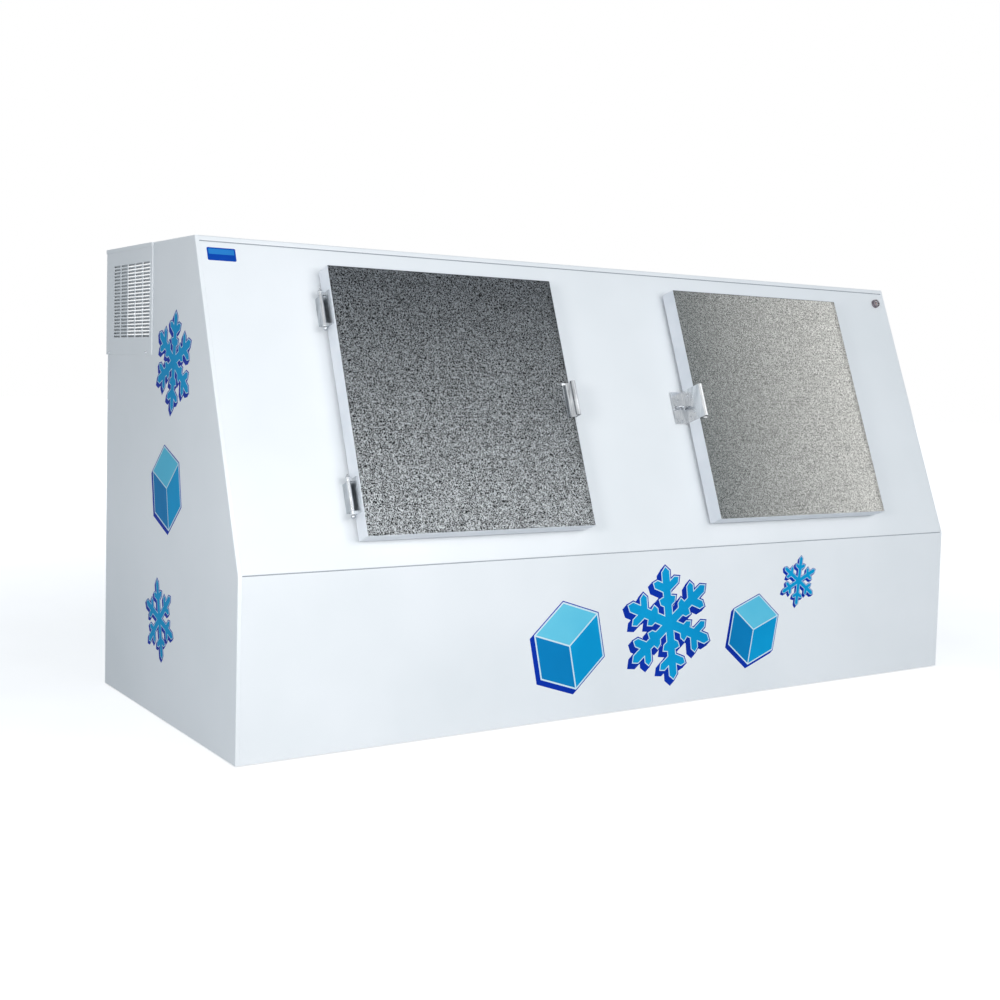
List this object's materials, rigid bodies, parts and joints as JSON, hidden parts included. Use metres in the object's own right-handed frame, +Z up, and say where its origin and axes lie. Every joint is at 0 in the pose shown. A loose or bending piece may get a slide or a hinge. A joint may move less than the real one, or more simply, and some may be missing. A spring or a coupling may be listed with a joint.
{
  "type": "ice merchandiser freezer",
  "caption": "Chest-like ice merchandiser freezer with a slanted front, insulated hinged doors with padlock hasps, and a louvred machine hood at the rear corner.",
  "frame": {"origin": "on the floor, under the middle of the cabinet", "axes": "+X along the front from left to right as seen from the front, +Y from the front to the back, +Z up"},
  "size_m": [2.393, 0.9939, 1.206],
  "materials": {
    "white_paint": "gloss white enamel on sheet steel",
    "grey_paint": "satin dark grey enamel",
    "embossed_aluminium": "embossed mill-finish sheet",
    "liner_aluminium": "embossed sheet",
    "galvanised": "galvanised sheet",
    "stainless": "brushed",
    "polished_chrome": "bright plate",
    "white_plastic": "moulded, light gloss",
    "black_plastic": "moulded, matte",
    "red_plastic": "needle",
    "insulation": "closed-cell polyurethane foam",
    "grey_rubber": "soft magnetic gasket",
    "black_rubber": "vibration mounts",
    "copper_tube": "drawn copper",
    "coil_fins": "bare fins",
    "black_enamel": "gloss black enamel",
    "clear_lens": "flat clear lens",
    "blue_vinyl": "printed self-adhesive vinyl, used by pieces of the dressed scene"
  },
  "bodies": {
    "cabinet": {"base_rails": "grey_paint", "bottom_panel": "galvanised", "left_side_panel": "white_paint", "right_side_panel": "white_paint", "rear_panel": "white_paint", "roof_panel": "white_paint", "lower_front_panel": "white_paint", "slant_front_panel": "white_paint", "floor_insulation": "insulation", "left_wall_insulation": "insulation", "right_wall_insulation": "insulation", "rear_wall_insulation": "insulation", "roof_insulation": "insulation", "front_insulation": "insulation", "bay_insulation": "insulation", "storage_liner": "liner_aluminium", "door_throats": "white_plastic", "condenser_hood": "white_paint", "hood_lid": "white_paint", "side_grille": "white_paint", "rear_grille": "white_paint", "hood_screws": "stainless", "bay_pan": "galvanised", "compressor": "black_enamel", "compressor_mounts": "black_rubber", "condenser_coil": "coil_fins", "fan_shroud": "galvanised", "condenser_fan_motor": "black_enamel", "refrigerant_lines": "copper_tube", "cable_gland": "black_plastic", "control_box": "galvanised", "evaporator_coil": "coil_fins", "evaporator_housing": "white_paint", "evaporator_fan_motor": "black_enamel", "evaporator_fan_guard": "stainless", "drain_tube": "white_plastic", "floor_racks": "liner_aluminium", "thermometer_case": "polished_chrome", "thermometer_lens": "clear_lens", "padlock_staples": "stainless", "hinge_plates": "polished_chrome", "hinge_pins": "polished_chrome"},
    "left_door": {"left_door_face": "embossed_aluminium", "left_door_edge": "white_paint", "left_door_core": "insulation", "left_door_inner_panel": "white_plastic", "left_door_gasket": "grey_rubber", "left_door_handle": "stainless", "left_door_hinge_leaves": "polished_chrome"},
    "right_door": {"right_door_face": "embossed_aluminium", "right_door_edge": "white_paint", "right_door_core": "insulation", "right_door_inner_panel": "white_plastic", "right_door_gasket": "grey_rubber", "right_door_handle": "stainless", "right_door_hinge_leaves": "polished_chrome"},
    "condenser_fan": {"condenser_fan": "black_plastic"},
    "evaporator_fan": {"evaporator_fan": "black_plastic"},
    "thermostat_knob": {"thermostat_knob": "black_plastic"},
    "thermometer_needle": {"thermometer_needle": "red_plastic"}
  },
  "joints": [
    {"name": "left_door_hinge", "type": "hinge", "parent": "cabinet", "child": "left_door", "pos_m": [-0.9, -0.34748, 0.82113], "axis": [0, -0.3519, -0.936], "range_deg": [0, 110]},
    {"name": "right_door_hinge", "type": "hinge", "parent": "cabinet", "child": "right_door", "pos_m": [0.9, -0.34748, 0.82113], "axis": [0, 0.3519, 0.936], "range_deg": [0, 110]},
    {"name": "condenser_fan_spin", "type": "hinge", "parent": "cabinet", "child": "condenser_fan", "pos_m": [-1.074, 0.286, 1.0392], "axis": [1, 0, 0], "continuous": true},
    {"name": "evaporator_fan_spin", "type": "hinge", "parent": "cabinet", "child": "evaporator_fan", "pos_m": [0.081, 0.2598, 1.0393], "axis": [0, 1, 0], "continuous": true},
    {"name": "thermostat_turn", "type": "hinge", "parent": "cabinet", "child": "thermostat_knob", "pos_m": [-0.449, 0.1772, 1.0412], "axis": [0, 1, 0], "range_deg": [0, 270]},
    {"name": "needle_turn", "type": "hinge", "parent": "cabinet", "child": "thermometer_needle", "pos_m": [1.143, -0.19856, 1.16037], "axis": [0, -0.936, 0.3519], "range_deg": [-120, 120]}
  ]
}
